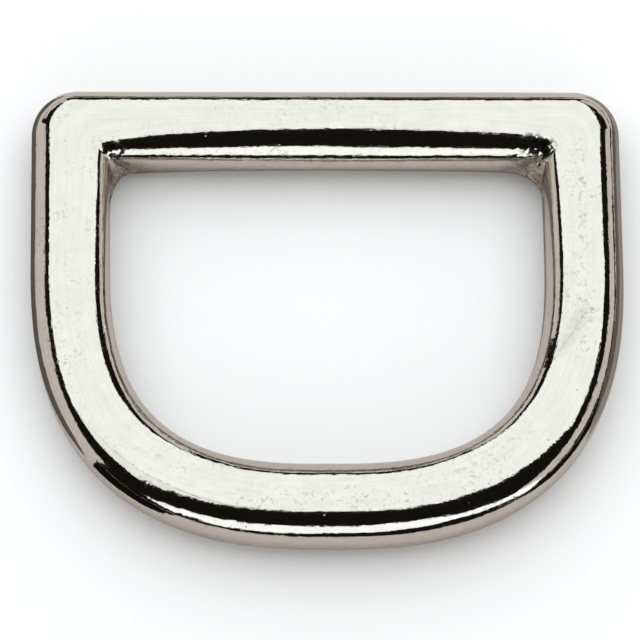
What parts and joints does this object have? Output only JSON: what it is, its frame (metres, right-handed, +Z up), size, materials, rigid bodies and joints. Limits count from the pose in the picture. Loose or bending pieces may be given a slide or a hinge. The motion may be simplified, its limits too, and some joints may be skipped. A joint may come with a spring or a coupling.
{
  "type": "d ring",
  "caption": "Cast metal D ring with a straight strap bar, rounded edges and a squarish bow, for joining a strap to a hook or to a second strap.",
  "frame": {"origin": "under the middle of the ring's box, on the surface that the ring lies on", "axes": "+X along the strap bar, +Y from the bow towards the strap bar, +Z up through the ring's thickness"},
  "size_m": [0.034, 0.0272, 0.004],
  "materials": {
    "nickel_plate": "polished nickel plate over a zinc alloy casting"
  },
  "bodies": {
    "root": {"d_ring": "nickel_plate"}
  },
  "joints": []
}
